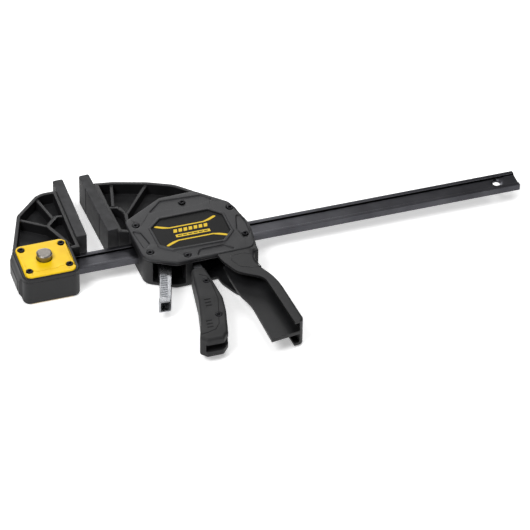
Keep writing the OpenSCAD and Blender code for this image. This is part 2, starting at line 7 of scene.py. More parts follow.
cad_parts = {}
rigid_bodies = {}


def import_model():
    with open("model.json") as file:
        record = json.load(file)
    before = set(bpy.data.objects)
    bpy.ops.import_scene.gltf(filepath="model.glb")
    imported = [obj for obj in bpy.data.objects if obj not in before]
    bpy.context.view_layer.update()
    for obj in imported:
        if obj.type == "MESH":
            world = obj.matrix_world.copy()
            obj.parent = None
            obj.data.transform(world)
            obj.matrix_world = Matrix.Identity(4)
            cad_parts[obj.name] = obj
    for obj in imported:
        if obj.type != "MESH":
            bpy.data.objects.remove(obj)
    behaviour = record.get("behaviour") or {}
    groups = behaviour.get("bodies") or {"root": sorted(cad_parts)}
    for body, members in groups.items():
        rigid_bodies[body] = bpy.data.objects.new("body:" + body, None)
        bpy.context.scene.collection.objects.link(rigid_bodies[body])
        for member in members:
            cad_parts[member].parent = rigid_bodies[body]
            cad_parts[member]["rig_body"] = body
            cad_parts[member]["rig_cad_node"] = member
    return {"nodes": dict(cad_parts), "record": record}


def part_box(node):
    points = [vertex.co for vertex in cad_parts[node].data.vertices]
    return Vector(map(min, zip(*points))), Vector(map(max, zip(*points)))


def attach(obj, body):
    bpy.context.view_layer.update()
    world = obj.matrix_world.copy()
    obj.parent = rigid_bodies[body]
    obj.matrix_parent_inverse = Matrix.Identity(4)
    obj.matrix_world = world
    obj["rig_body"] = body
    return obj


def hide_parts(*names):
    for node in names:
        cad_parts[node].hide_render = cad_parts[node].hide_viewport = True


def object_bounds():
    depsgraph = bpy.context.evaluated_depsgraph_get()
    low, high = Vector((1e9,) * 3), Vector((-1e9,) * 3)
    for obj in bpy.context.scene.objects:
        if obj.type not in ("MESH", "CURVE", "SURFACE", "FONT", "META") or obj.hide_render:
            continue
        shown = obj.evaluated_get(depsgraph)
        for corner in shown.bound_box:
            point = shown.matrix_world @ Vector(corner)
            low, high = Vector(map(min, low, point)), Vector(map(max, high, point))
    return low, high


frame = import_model()
cadLow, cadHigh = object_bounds()
scene = bpy.context.scene
scene.view_settings.view_transform = "Standard"

mm = 0.001
nodes = frame["nodes"]
bodyOf = {n: b for b, members in frame["record"]["behaviour"]["bodies"].items() for n in members}
slotOf = {s["node"]: s["material_slot"] for s in frame["record"]["subparts"]}
barLow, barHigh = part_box("bar")
barLine = (barLow.y + barHigh.y) / 2
print("frame loaded")


def at(x, y, z=0):  # millimetres along the bar, across it from its centreline, and up
    return Vector((x * mm, barLine + y * mm, z * mm))


def pickOnly(obj):
    if bpy.context.mode != "OBJECT":
        bpy.ops.object.mode_set(mode="OBJECT")
    bpy.ops.object.select_all(action="DESELECT")
    obj.select_set(True)
    bpy.context.view_layer.objects.active = obj


# Materials: one function turns a hex colour to linear, and one adds a node with its settings and links
def toLinear(code):
    parts = [int(code[i:i + 2], 16) / 255 for i in (1, 3, 5)]
    return [c / 12.92 if c <= 0.04045 else ((c + 0.055) / 1.055) ** 2.4 for c in parts] + [1]


def addNode(mat, kind, inputs={}, to=None, **settings):
    node = mat.node_tree.nodes.new("ShaderNode" + kind)
    for key, value in settings.items():
        setattr(node, key, value)
    for key, value in inputs.items():
        if isinstance(value, bpy.types.NodeSocket):
            mat.node_tree.links.new(value, node.inputs[key])
        else:
            node.inputs[key].default_value = value
    if to:
        mat.node_tree.links.new(node.outputs[2 if kind == "Mix" else 0], to)
    return node


def startMaterial(name, **surface):
    mat = bpy.data.materials.new(name)
    mat.use_nodes = True
    shader = mat.node_tree.nodes["Principled BSDF"]
    for key, value in surface.items():
        shader.inputs[key.replace("_", " ")].default_value = value
    return mat, shader.inputs, addNode(mat, "TexCoord").outputs["Object"]


# The inputs of a colour Mix node, and the middle of a noise, where most of its values lie
mixBy, mixDark, mixLight = 0, 6, 7
noiseLow, noiseHigh = 0.3, 0.7


# Glass-filled nylon moulded in a spark-eroded tool: a fine even grain, a dull sheen, and edges painted lighter
# as a painted highlight
def mouldedNylon(name, s):
    mat, skin, place = startMaterial(name, IOR=1.53, Specular_IOR_Level=0.3)
    # the real grain is about 0.1 mm: it is drawn coarser so that it shows
    grain = addNode(mat, "TexNoise", {"Vector": place, "Scale": 1 / (s["grain"] * mm), "Detail": 2}).outputs[0]
    cloud = addNode(mat, "TexNoise", {"Vector": place, "Scale": 1 / (s["cloud"] * mm), "Detail": 4}).outputs[0]
    both = addNode(mat, "Math", {0: grain, 1: cloud}, operation="ADD").outputs[0]
    shade = addNode(mat, "MapRange", {"Value": both, "From Min": 0.75, "From Max": 1.25}).outputs[0]
    base = addNode(mat, "Mix", {mixBy: shade, mixDark: toLinear(s["dark"]), mixLight: toLinear(s["light"])},
                   data_type="RGBA").outputs[2]
    # painted highlight: faces within the bevel radius of an edge are mixed towards the lighter edge colour
    soft = addNode(mat, "Bevel", {"Radius": s["edgeHighlightWidth"] * mm}, samples=4).outputs[0]
    flat = addNode(mat, "NewGeometry").outputs["Normal"]
    facing = addNode(mat, "VectorMath", {0: soft, 1: flat}, operation="DOT_PRODUCT").outputs["Value"]
    paintedEdgeHighlight = addNode(mat, "MapRange", {"Value": facing, "From Min": 0.97, "From Max": 0.86,
                                       "To Min": 0, "To Max": s["edgeHighlight"]}).outputs[0]
    addNode(mat, "Mix", {mixBy: paintedEdgeHighlight, mixDark: base, mixLight: toLinear(s["edge"])}, to=skin["Base Color"],
            data_type="RGBA")
    addNode(mat, "MapRange", {"Value": cloud, "From Min": noiseLow, "From Max": noiseHigh,
                              "To Min": s["gloss"][0], "To Max": s["gloss"][1]}, to=skin["Roughness"])
    addNode(mat, "Bump", {"Height": grain, "Distance": 0.05 * mm, "Strength": 0.5}, to=skin["Normal"])
    return mat


# Soft elastomer, overmoulded: matt and slightly velvety, with a pebbled grain
def mouldedRubber(name, s):
    mat, skin, place = startMaterial(name, IOR=1.5, Roughness=s["rough"], Specular_IOR_Level=0.25,
                                     Sheen_Weight=0.06, Sheen_Roughness=0.4)
    pebbles = addNode(mat, "TexVoronoi", {"Vector": place, "Scale": 1 / (s["grain"] * mm)}).outputs["Distance"]
    cloud = addNode(mat, "TexNoise", {"Vector": place, "Scale": 1 / (s["cloud"] * mm), "Detail": 5}).outputs[0]
    shade = addNode(mat, "MapRange", {"Value": cloud, "From Min": noiseLow, "From Max": noiseHigh}).outputs[0]
    addNode(mat, "Mix", {mixBy: shade, mixDark: toLinear(s["dark"]), mixLight: toLinear(s["light"])},
            to=skin["Base Color"], data_type="RGBA")
    addNode(mat, "Bump", {"Height": pebbles, "Distance": 0.08 * mm, "Strength": 0.4}, to=skin["Normal"])
    return mat


# Polyester powder coat on steel: saturated and glossy, with a soft orange peel
def powderCoat(name, s):
    mat, skin, place = startMaterial(name, IOR=1.5, Specular_IOR_Level=0.3, Coat_Weight=0.08,
                                     Coat_Roughness=0.15)
    peel = addNode(mat, "TexNoise", {"Vector": place, "Scale": 1 / (s["peel"] * mm), "Detail": 1}).outputs[0]
    cloud = addNode(mat, "TexNoise", {"Vector": place, "Scale": 1 / (s["cloud"] * mm), "Detail": 3}).outputs[0]
    shade = addNode(mat, "MapRange", {"Value": cloud, "From Min": noiseLow, "From Max": noiseHigh}).outputs[0]
    addNode(mat, "Mix", {mixBy: shade, mixDark: toLinear(s["dark"]), mixLight: toLinear(s["light"])},
            to=skin["Base Color"], data_type="RGBA")
    addNode(mat, "MapRange", {"Value": peel, "To Min": s["gloss"][0], "To Max": s["gloss"][1]},
            to=skin["Roughness"])
    addNode(mat, "Bump", {"Height": peel, "Distance": 0.05 * mm, "Strength": 0.3}, to=skin["Normal"])
    return mat


# Steel and its finishes: grain runs along the bar where it is drawn or rolled, and plating clouds a little
def finishedSteel(name, s):
    mat, skin, place = startMaterial(name, Metallic=1.0)
    drawn = addNode(mat, "Mapping", {"Vector": place, "Scale": (s.get("along", 1), 1, 1)}).outputs[0]
    grain = addNode(mat, "TexNoise", {"Vector": drawn, "Scale": 1 / (s["grain"] * mm), "Detail": 3}).outputs[0]
    cloud = addNode(mat, "TexNoise", {"Vector": place, "Scale": 1 / (s["cloud"] * mm), "Detail": 3}).outputs[0]
    shade = addNode(mat, "MapRange", {"Value": cloud, "From Min": noiseLow, "From Max": noiseHigh}).outputs[0]
    addNode(mat, "Mix", {mixBy: shade, mixDark: toLinear(s["dark"]), mixLight: toLinear(s["light"])},
            to=skin["Base Color"], data_type="RGBA")
    addNode(mat, "MapRange", {"Value": grain, "From Min": noiseLow, "From Max": noiseHigh,
                              "To Min": s["gloss"][0], "To Max": s["gloss"][1]}, to=skin["Roughness"])
    addNode(mat, "Bump", {"Height": grain, "Distance": 0.02 * mm, "Strength": 0.3}, to=skin["Normal"])
    return mat


# Turned and nickelled steel: rings left by the tool, drawn far coarser than the real ones so that they show
def turnedSteel(name, s, centre):
    mat, skin, place = startMaterial(name, Metallic=1.0)
    middle = addNode(mat, "Mapping", {"Vector": place, "Location": [-c for c in centre]}).outputs[0]
    ringScale = math.pi / (10 * s["ringGap"] * mm)  # at scale 1 the rings are a tenth of pi apart
    rings = addNode(mat, "TexWave", {"Vector": middle, "Scale": ringScale, "Distortion": 0.3},
                    wave_type="RINGS", rings_direction="Z").outputs["Fac"]
    cloud = addNode(mat, "TexNoise", {"Vector": place, "Scale": 1 / (s["cloud"] * mm), "Detail": 4}).outputs[0]
    addNode(mat, "Mix", {mixBy: cloud, mixDark: toLinear(s["dark"]), mixLight: toLinear(s["light"])},
            to=skin["Base Color"], data_type="RGBA")
    addNode(mat, "MapRange", {"Value": cloud, "To Min": s["gloss"][0], "To Max": s["gloss"][1]},
            to=skin["Roughness"])
    addNode(mat, "Bump", {"Height": rings, "Distance": 0.02 * mm, "Strength": 0.25}, to=skin["Normal"])
    return mat


# Printed film: thin even ink with a satin face and a faint fleck
def printedFilm(name, s):
    mat, skin, place = startMaterial(name, IOR=1.5, Roughness=s["rough"], Specular_IOR_Level=0.12)
    fleck = addNode(mat, "TexNoise", {"Vector": place, "Scale": 1 / (s["fleck"] * mm), "Detail": 2}).outputs[0]
    addNode(mat, "Mix", {mixBy: fleck, mixDark: toLinear(s["dark"]), mixLight: toLinear(s["light"])},
            to=skin["Base Color"], data_type="RGBA")
    addNode(mat, "Bump", {"Height": fleck, "Distance": 0.01 * mm, "Strength": 0.3}, to=skin["Normal"])
    return mat


# the edge colour of the moulded nylons is a painted highlight along their edges
finishes = dict(
    nylon=(mouldedNylon, "nylon_glass_filled_moulded", dict(dark="#111112", light="#1d1d1f", edge="#48484a",
           edgeHighlight=0.5, edgeHighlightWidth=0.5, grain=0.55, cloud=22, gloss=(0.42, 0.56))),
    cover=(mouldedNylon, "nylon_cover_moulded", dict(dark="#212123", light="#2d2d2f", edge="#626264",
           edgeHighlight=0.5, edgeHighlightWidth=0.5, grain=0.5, cloud=26, gloss=(0.42, 0.55))),
    acetal=(mouldedNylon, "acetal_moulded", dict(dark="#c9c7bd", light="#dedcd3", edge="#f0efe8",
            edgeHighlight=0.3, edgeHighlightWidth=0.3, grain=0.5, cloud=10, gloss=(0.3, 0.4))),
    pad=(mouldedRubber, "rubber_pad_moulded", dict(dark="#2c2c2d", light="#3e3e40", grain=0.6, cloud=9,
         rough=0.7)),
    grip=(mouldedRubber, "elastomer_grip_overmoulded", dict(dark="#1f1f20", light="#2b2b2c", grain=0.8,
          cloud=14, rough=0.62)),
    # painted shade: near-black rubber for the cord that stands for the shade in the trigger's seam
    seam=(mouldedRubber, "elastomer_seam_shadowed", dict(dark="#050505", light="#0a0a0a", grain=0.8, cloud=14,
          rough=0.9)),
    yellow=(powderCoat, "powder_coat_yellow_on_steel", dict(dark="#e8bb00", light="#f7cf00", peel=1.3,
            cloud=18, gloss=(0.3, 0.42))),
    badge=(printedFilm, "badge_film_black_satin", dict(dark="#070707", light="#0d0d0e", fleck=0.6,
           rough=0.45)),
    ink=(printedFilm, "badge_ink_yellow", dict(dark="#d2ae22", light="#e8c63a", fleck=0.6,
         rough=0.4)),
    bar=(finishedSteel, "steel_rolled_blacked", dict(dark="#3e3e42", light="#4e4e52", grain=0.35, cloud=30,
         along=0.06, gloss=(0.3, 0.38))),
    # painted shade: near-black steel for the slopes beside the beads, where the recess lies in shade
    barSlopeShade=(finishedSteel, "steel_rolled_painted_slope_shade", dict(dark="#0b0b0c", light="#151517",
              grain=0.35, cloud=30, along=0.06, gloss=(0.45, 0.6))),
    zinc=(finishedSteel, "steel_zinc_plated", dict(dark="#8b8d91", light="#b2b4b8", grain=0.4, cloud=8,
          gloss=(0.26, 0.42))),
    spring=(finishedSteel, "spring_steel_drawn", dict(dark="#7f8084", light="#a5a7aa", grain=0.3, cloud=6,
            gloss=(0.25, 0.4))),
    chrome=(finishedSteel, "steel_pressed_chromed", dict(dark="#8b8d90", light="#adaeb1", grain=0.7, cloud=7,
            gloss=(0.2, 0.34))),
    screw=(finishedSteel, "steel_black_oxide", dict(dark="#101012", light="#232326", grain=0.3, cloud=4,
           gloss=(0.3, 0.45))))
mats = {key: maker(name, settings) for key, (maker, name, settings) in finishes.items()}
buttonLow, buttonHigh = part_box("quick_change_button")
mats["button"] = turnedSteel("steel_turned_nickelled", dict(dark="#6f6b67", light="#9c9791", ringGap=3.927,
                              cloud=4, gloss=(0.34, 0.5)), (buttonLow + buttonHigh) / 2)
print("materials made")


# Working on meshes: select in code, then use the same tools as by hand. Angles are in degrees
mergeGap, flatAngle, edgeAngle, smoothAngle = 0.004, 1, 32, 35


def pickIn(piece, kind, test):
    pickOnly(piece)
    bpy.ops.object.mode_set(mode="EDIT")
    bpy.ops.mesh.select_mode(type=kind)
    bpy.ops.mesh.select_all(action="DESELECT")
    mesh = bmesh.from_edit_mesh(piece.data)
    mesh.normal_update()
    found = [e for e in (mesh.edges if kind == "EDGE" else mesh.faces) if test(e)]
    for e in found:
        e.select_set(True)
    bmesh.update_edit_mesh(piece.data)
    return len(found)


def roundOff(piece, test, radius, steps=4):
    if pickIn(piece, "EDGE", test):
        bpy.ops.mesh.bevel(offset=radius * mm, segments=steps, profile=0.5, affect="EDGES",
                           clamp_overlap=False, loop_slide=False)
    bpy.ops.object.mode_set(mode="OBJECT")


def applyModifier(piece, kind, **settings):
    pickOnly(piece)
    modifier = piece.modifiers.new(kind.lower(), kind)
    for key, value in settings.items():
        setattr(modifier, key, value)
    bpy.ops.object.modifier_apply(modifier=modifier.name)


def tidyFaces(piece):
    pickIn(piece, "FACE", lambda f: True)
    bpy.ops.mesh.remove_doubles(threshold=mergeGap * mm)
    bpy.ops.mesh.dissolve_limited(angle_limit=math.radians(flatAngle))
    bpy.ops.mesh.quads_convert_to_tris(ngon_method="BEAUTY")
    bpy.ops.object.mode_set(mode="OBJECT")


def copyOf(node, name):
    pickOnly(nodes[node])
    bpy.ops.object.duplicate()
    piece = bpy.context.active_object
    bpy.ops.object.parent_clear(type="CLEAR_KEEP_TRANSFORM")
    piece.name = name
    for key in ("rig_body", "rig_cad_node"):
        del piece[key]
    piece.data.materials.clear()
    bpy.ops.mesh.customdata_custom_splitnormals_clear()
    tidyFaces(piece)
    return piece


def easeEdges(piece, width, steps=2):
    applyModifier(piece, "BEVEL", width=width * mm, segments=steps, limit_method="ANGLE",
                  angle_limit=math.radians(edgeAngle), use_clamp_overlap=False, loop_slide=False,
                  miter_outer="MITER_ARC")


def smoothPiece(piece):
    pickOnly(piece)
    bpy.ops.object.transform_apply()
    bpy.ops.object.shade_smooth_by_angle(angle=math.radians(smoothAngle))
    applyModifier(piece, "WEIGHTED_NORMAL", keep_sharp=True)


# Where edges crowd, a bevel runs points past the parts that the piece stands for. They are put back onto the
# box of those parts, which flattens them there: the overrun isn't cured, and one inside the box stays
def keepWithin(piece, names):
    boxes = [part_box(name) for name in names]
    low = [min(box[0][k] for box in boxes) for k in range(3)]
    high = [max(box[1][k] for box in boxes) for k in range(3)]
    for vertex in piece.data.vertices:
        vertex.co = [min(max(vertex.co[k], low[k]), high[k]) for k in range(3)]


def placePiece(piece, body, material, slotName, *stoodFor):
    if material:
        piece.data.materials.append(mats[material])
    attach(piece, body)
    if stoodFor:
        keepWithin(piece, stoodFor)
        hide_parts(*stoodFor)


def nearHeight(edge, z, gap=0.02):
    return all(abs(v.co.z - z) < gap * mm for v in edge.verts)


def middleOf(edge):
    return (edge.verts[0].co + edge.verts[1].co) / 2


def sideNormal(edge):  # of the upright face beside a rim's edge
    sides = [f.normal for f in edge.link_faces if abs(f.normal.z) < 0.2]
    return sides[0] if len(sides) == 1 else None


def isOutline(edge, centre):
    normal = sideNormal(edge)
    return normal is not None and normal.dot(middleOf(edge) - centre) > 0


# A round cord laid through points, for a raised bead, or for a near-black cord of painted shade along a seam
def layCord(name, points, radius, closed=False):
    curve = bpy.data.curves.new(name, "CURVE")
    curve.dimensions = "3D"
    curve.bevel_depth = radius * mm
    curve.bevel_resolution = 2
    curve.use_fill_caps = True
    line = curve.splines.new("POLY")
    line.points.add(len(points) - 1)
    for point, place in zip(line.points, points):
        point.co = (*place, 1)
    line.use_cyclic_u = closed
    piece = bpy.data.objects.new(name, curve)
    scene.collection.objects.link(piece)
    pickOnly(piece)
    bpy.ops.object.convert(target="MESH")
    return piece


# A flat band: each step moves its end edge by (x, y) and scales its width; a second run goes the other way
def drawBand(name, place, long, wide, steps, thick):
    bpy.ops.object.select_all(action="DESELECT")
    bpy.ops.mesh.primitive_plane_add(size=1, location=place)
    piece = bpy.context.active_object
    piece.name = name
    piece.scale = (long * mm, wide * mm, 1)
    bpy.ops.object.transform_apply()
    for way in (1, -1):
        end = place.x + way * long / 2 * mm
        pickIn(piece, "EDGE", lambda e: all(abs(v.co.x - end) < 0.01 * mm for v in e.verts))
        middle = place + Vector((way * long / 2 * mm, 0, 0))
        for x, y, grow in steps:
            move = Vector((way * x * mm, y * mm, 0))
            bpy.ops.mesh.extrude_region_move(TRANSFORM_OT_translate={"value": move})
            middle = middle + move
            bpy.ops.transform.resize(value=(1, grow, 1), center_override=middle)
    bpy.ops.mesh.select_all(action="SELECT")
    bpy.ops.mesh.extrude_region_move(TRANSFORM_OT_translate={"value": (0, 0, thick * mm)})
    bpy.ops.mesh.select_all(action="SELECT")
    bpy.ops.mesh.normals_make_consistent(inside=False)
    bpy.ops.object.mode_set(mode="OBJECT")
    return piece


def mirrorBelow(piece, name):
    pickOnly(piece)
    bpy.ops.object.duplicate()
    twin = bpy.context.active_object
    twin.name = name
    twin.scale = (1, 1, -1)
    bpy.ops.object.transform_apply()
    pickIn(twin, "FACE", lambda f: True)
    bpy.ops.mesh.normals_make_consistent(inside=False)
    bpy.ops.object.mode_set(mode="OBJECT")
    return twin


# CAD parts that stay as they are, with their finishes
plainNodes = dict(lock_yoke="zinc", lock_pin="zinc", lock_springs="spring", front_guide="acetal",
                  rear_guide="acetal", trigger_pivot_pin="zinc", clutch_plates="zinc",
                  clutch_springs="spring", brake_plates="zinc", brake_pivot_pin="zinc",
                  brake_spring="spring", release_rivet="zinc")
for node, finish in plainNodes.items():
    nodes[node].data.materials.clear()
    nodes[node].data.materials.append(mats[finish])

# Parts whose edges are eased all over: finish and width of the eased edge
easedNodes = dict(
    fixed_jaw_base_plate=("yellow", 0.4), fixed_jaw_plate_screws=("screw", 0.35),
    fixed_jaw_base_screws=("screw", 0.35), top_cover_screws=("screw", 0.35),
    bottom_cover_screws=("screw", 0.35), trigger_screws=("screw", 0.3), bottom_badge=("badge", 0.2),
    top_badge=("badge", 0.2), trigger_plates=("zinc", 0.4))
for node, (finish, width) in easedNodes.items():
    piece = copyOf(node, node + "_eased")
    easeEdges(piece, width)
    smoothPiece(piece)
    placePiece(piece, bodyOf[node], finish, slotOf[node], node)
print("eased parts done")

# The bar: rolled, with painted shade: the slopes beside the beads get a near-black, rougher steel
barSet = dict(edge=0.45, slope=(0.2, 0.97), endSlope=0.1)


def makeBar(s):
    piece = copyOf("bar", "bar_rolled")
    piece.data.materials.append(mats["bar"])
    piece.data.materials.append(mats["barSlopeShade"])
    # painted shade: faces sloping between a bead and the web take the near-black steel
    for face in piece.data.polygons:
        if s["slope"][0] < abs(face.normal.z) < s["slope"][1] and abs(face.normal.x) < s["endSlope"]:
            face.material_index = 1
    easeEdges(piece, s["edge"])
    smoothPiece(piece)
    placePiece(piece, bodyOf["bar"], None, slotOf["bar"], "bar")


makeBar(barSet)
print("bar done")

# Fixed jaw: moulded head and arm, with its yellow plate and its button, and the pads of both jaws
jawSet = dict(baseRadius=2.2, rimRadius=1.1, rimGap=0.5, edge=0.55, wallGap=2.5, seamHeight=9.6, seamWide=0.5,
              seamDeep=0.4)
plateSet = dict(edgeRadius=0.9, edge=0.3, lip=0.45, sink=0.1,
                line=[(-62, -12.6), (-59, -16.2), (-56, -17.2), (-38, -17.2), (-35, -15.4), (-31, -15.4)])
buttonSet = dict(edge=0.5, steps=3)
padSet = dict(topRadius=1.6, steps=3, edge=0.55, shortest=20, topDepth=3)


def cutSeam(piece, height, wide, deep, onWall):
    for level in (height - wide / 2, height + wide / 2):
        pickIn(piece, "FACE", lambda f: True)
        bpy.ops.mesh.bisect(plane_co=(0, 0, level * mm), plane_no=(0, 0, 1))
        bpy.ops.object.mode_set(mode="OBJECT")
    near = (wide / 2 + 0.02) * mm
    pickIn(piece, "FACE", lambda f: abs(f.normal.z) < 0.1 and onWall(f)
           and all(abs(v.co.z - height * mm) < near for v in f.verts))
    bpy.ops.mesh.extrude_region_shrink_fatten(TRANSFORM_OT_shrink_fatten={"value": -deep * mm})
    bpy.ops.object.mode_set(mode="OBJECT")


def makeFixedJaw(s):
    low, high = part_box("fixed_jaw")
    centre = (low + high) / 2
    plateLow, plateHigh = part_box("fixed_jaw_plate")
    piece = copyOf("fixed_jaw", "fixed_jaw_moulding")
    roundOff(piece, lambda e: nearHeight(e, low.z) and isOutline(e, centre), s["baseRadius"])
    headMiddle = (plateLow + plateHigh) / 2
    headHalf = (plateHigh - plateLow) / 2

    def onHeadRim(e):
        off = middleOf(e) - headMiddle
        clear = any(abs(off[k]) > headHalf[k] + s["rimGap"] * mm for k in (0, 1))
        return nearHeight(e, high.z) and isOutline(e, headMiddle) and clear

    def onHeadWall(f):
        middle = f.calc_center_median()
        inside = middle.x < plateHigh.x + s["wallGap"] * mm and middle.y < plateHigh.y
        return inside and f.normal.dot(middle - headMiddle) > 0

    roundOff(piece, onHeadRim, s["rimRadius"], 3)
    easeEdges(piece, s["edge"])
    cutSeam(piece, s["seamHeight"], s["seamWide"], s["seamDeep"], onHeadWall)
    smoothPiece(piece)
    placePiece(piece, "bar_and_fixed_jaw", "nylon", "black_nylon", "fixed_jaw")


def makePlate(s):
    low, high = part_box("fixed_jaw_plate")
    centre = (low + high) / 2
    piece = copyOf("fixed_jaw_plate", "fixed_jaw_plate_pressed")
    roundOff(piece, lambda e: nearHeight(e, high.z) and isOutline(e, centre), s["edgeRadius"], 3)
    easeEdges(piece, s["edge"])
    smoothPiece(piece)
    placePiece(piece, "bar_and_fixed_jaw", "yellow", "yellow_paint", "fixed_jaw_plate")
    bead = layCord("fixed_jaw_plate_bead", [at(x, y, high.z / mm - s["sink"]) for x, y in s["line"]],
                   s["lip"])
    smoothPiece(bead)
    placePiece(bead, "bar_and_fixed_jaw", "yellow", "yellow_paint")


def makeButton(s):
    piece = copyOf("quick_change_button", "quick_change_button_turned")
    easeEdges(piece, s["edge"], s["steps"])
    smoothPiece(piece)
    placePiece(piece, "lock_button", "button", "button_steel", "quick_change_button")


def makePad(node, s):
    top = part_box(node)[1].y
    piece = copyOf(node, node + "_moulded")
    pickIn(piece, "FACE", lambda f: True)
    bpy.ops.mesh.dissolve_limited(angle_limit=math.radians(flatAngle))  # whole faces take the bevel cleanly
    roundOff(piece, lambda e: abs(e.verts[0].co.z - e.verts[1].co.z) > s["shortest"] * mm
             and min(v.co.y for v in e.verts) > top - s["topDepth"] * mm, s["topRadius"], s["steps"])
    easeEdges(piece, s["edge"])
    smoothPiece(piece)
    placePiece(piece, bodyOf[node], "pad", "pad_rubber", node)


makeFixedJaw(jawSet)
makePlate(plateSet)
makeButton(buttonSet)
makePad("fixed_pad", padSet)
makePad("moving_pad", padSet)
print("fixed jaw and pads done")

# Jaw body: case, arm and handle in one moulding, its soft grip, and its covers
bodySet = dict(baseRadius=2.3, handleRadius=2.8, endRadius=4.5, steps=5, edge=0.5, palmFacing=0.55)
handleSet = dict(palmRadius=0.6, endRadius=4.5, steps=5, edge=0.2, palmFacing=0.5, bead=0.5, sink=0.25,
                 root=[(119, -45), (129, -43.6), (138, -47), (138.5, -57), (141, -67), (133, -66),
                       (123, -61.5), (117.5, -51)])
coverSet = dict(fieldRadius=1.3, rimRadius=0.7, panelEdge=0.8, panelHigh=0.8, edge=0.3, screwRoom=1.2,
                reach=38)
endSet = dict(shortest=1.5, lean=0.05, room=1.6)


def atHandleEnd(edge):
    low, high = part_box("handle_grip")
    a, b = (v.co for v in edge.verts)
    room = endSet["room"] * mm
    upright = abs(a.z - b.z) > endSet["shortest"] * mm and (a - b).xy.length < endSet["lean"] * mm
    return upright and a.x > high.x - room and a.y < low.y + room


def makeJawBody(s):
    low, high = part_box("jaw_body")
    caseLow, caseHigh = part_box("top_cover")
    centre = (caseLow + caseHigh) / 2

    def onPalm(e):
        normal = sideNormal(e)
        flat = nearHeight(e, high.z) or nearHeight(e, -high.z)
        below = max(v.co.y for v in e.verts) < caseLow.y
        return flat and below and normal is not None and normal.x > s["palmFacing"]

    piece = copyOf("jaw_body", "jaw_body_moulding")
    roundOff(piece, lambda e: nearHeight(e, low.z) and isOutline(e, centre), s["baseRadius"])
    roundOff(piece, atHandleEnd, s["endRadius"], s["steps"])
    roundOff(piece, onPalm, s["handleRadius"], s["steps"])
    easeEdges(piece, s["edge"])
    smoothPiece(piece)
    placePiece(piece, "moving_jaw", "nylon", "black_nylon", "jaw_body")


def makeHandleGrip(s):
    low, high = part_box("handle_grip")
    piece = copyOf("handle_grip", "handle_grip_soft")
    roundOff(piece, atHandleEnd, s["endRadius"], s["steps"])
    roundOff(piece, lambda e: (nearHeight(e, low.z) or nearHeight(e, high.z))
             and sideNormal(e) is not None and sideNormal(e).x > s["palmFacing"], s["palmRadius"])
    easeEdges(piece, s["edge"])
    smoothPiece(piece)
    placePiece(piece, "moving_jaw", "grip", "grip_rubber", "handle_grip")
    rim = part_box("jaw_body")[1].z / mm
    bead = layCord("handle_root_bead", [at(x, y, rim - s["sink"]) for x, y in s["root"]], s["bead"],
                   closed=True)
    smoothPiece(bead)
    twin = mirrorBelow(bead, "handle_root_bead_below")
    placePiece(bead, "moving_jaw", "nylon", "black_nylon")
    placePiece(twin, "moving_jaw", "nylon", "black_nylon")


def makeCovers(s):
    screws = [v.co for v in nodes["top_cover_screws"].data.vertices]

    def clearOfScrews(edge):
        middle = middleOf(edge).xy
        return all((middle - spot.xy).length > s["screwRoom"] * mm for spot in screws)

    for node, panelled in (("top_cover", True), ("bottom_cover", False)):
        low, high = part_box(node)
        centre = (low + high) / 2
        field = (high.z - s["panelHigh"] * mm) if panelled else low.z
        piece = copyOf(node, node + "_moulded")
        roundOff(piece, lambda e: nearHeight(e, field) and isOutline(e, centre)
                 and (middleOf(e) - centre).length > s["reach"] * mm, s["fieldRadius"], 3)
        if panelled:
            roundOff(piece, lambda e: nearHeight(e, high.z) and sideNormal(e) is not None, s["rimRadius"], 2)
            roundOff(piece, lambda e: nearHeight(e, field) and sideNormal(e) is not None
                     and not isOutline(e, centre) and clearOfScrews(e), s["panelEdge"], 1)
        easeEdges(piece, s["edge"])
        smoothPiece(piece)
        placePiece(piece, "moving_jaw", "cover", "cover_nylon", node)


makeJawBody(bodySet)
makeHandleGrip(handleSet)
makeCovers(coverSet)
print("body done")

# Badge: two flared stripes and a generic mark of slanted bars over a barred strip
badgeSet = dict(thick=0.14, flare=[(6, 2.0, 1.9), (5, 2.4, 1.0), (2, 0.5, 0.35)], stripeWide=1.5,
                upper=dict(x=92.5, y=9.0, long=33), lower=dict(x=96, y=-10.4, long=33),
                bars=7, barWide=3.4, barHigh=4.6, barPitch=4.9, barSlant=1.1, barLift=0.1, barsAt=(79.5, 3.2),
                strip=dict(x=95, y=-4.1, long=33, wide=3.8), notches=6, notchPitch=5, notchLong=3.2,
                notchWide=1.2, notchEnd=[(0.5, 0.6, 0.4)], notchThick=0.05, notchSink=0.02, reach=0.1)


